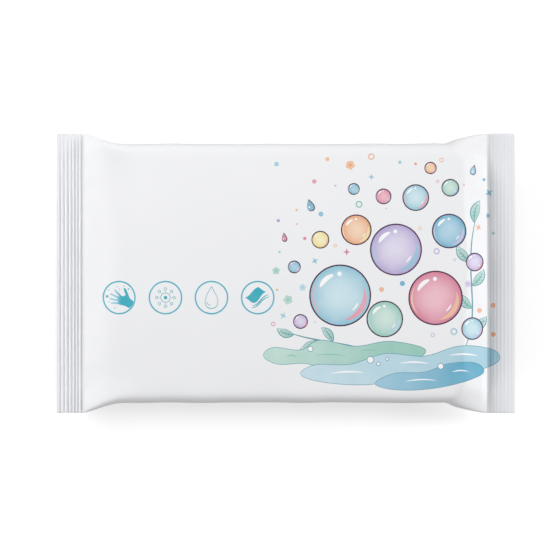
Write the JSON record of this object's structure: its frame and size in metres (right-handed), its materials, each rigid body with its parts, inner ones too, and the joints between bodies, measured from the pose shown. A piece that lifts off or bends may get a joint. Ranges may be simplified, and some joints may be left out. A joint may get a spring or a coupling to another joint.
{
  "type": "wet wipes pack",
  "caption": "Sealed flow-wrap pack of wet wipes in white film, lying on its back, with ribbed crimp seals across both ends and a folded fin seal along the back.",
  "frame": {"origin": "centre of the underside, in the plane that the pack rests on", "axes": "+X along the pack, to the right as its front is read; +Y across the pack, to the top of the printed front; +Z out of the printed front, up as the pack lies on its back"},
  "size_m": [0.186, 0.1134, 0.021],
  "materials": {
    "film": "satin"
  },
  "bodies": {
    "root": {"sealed_pack": "film"}
  },
  "joints": []
}
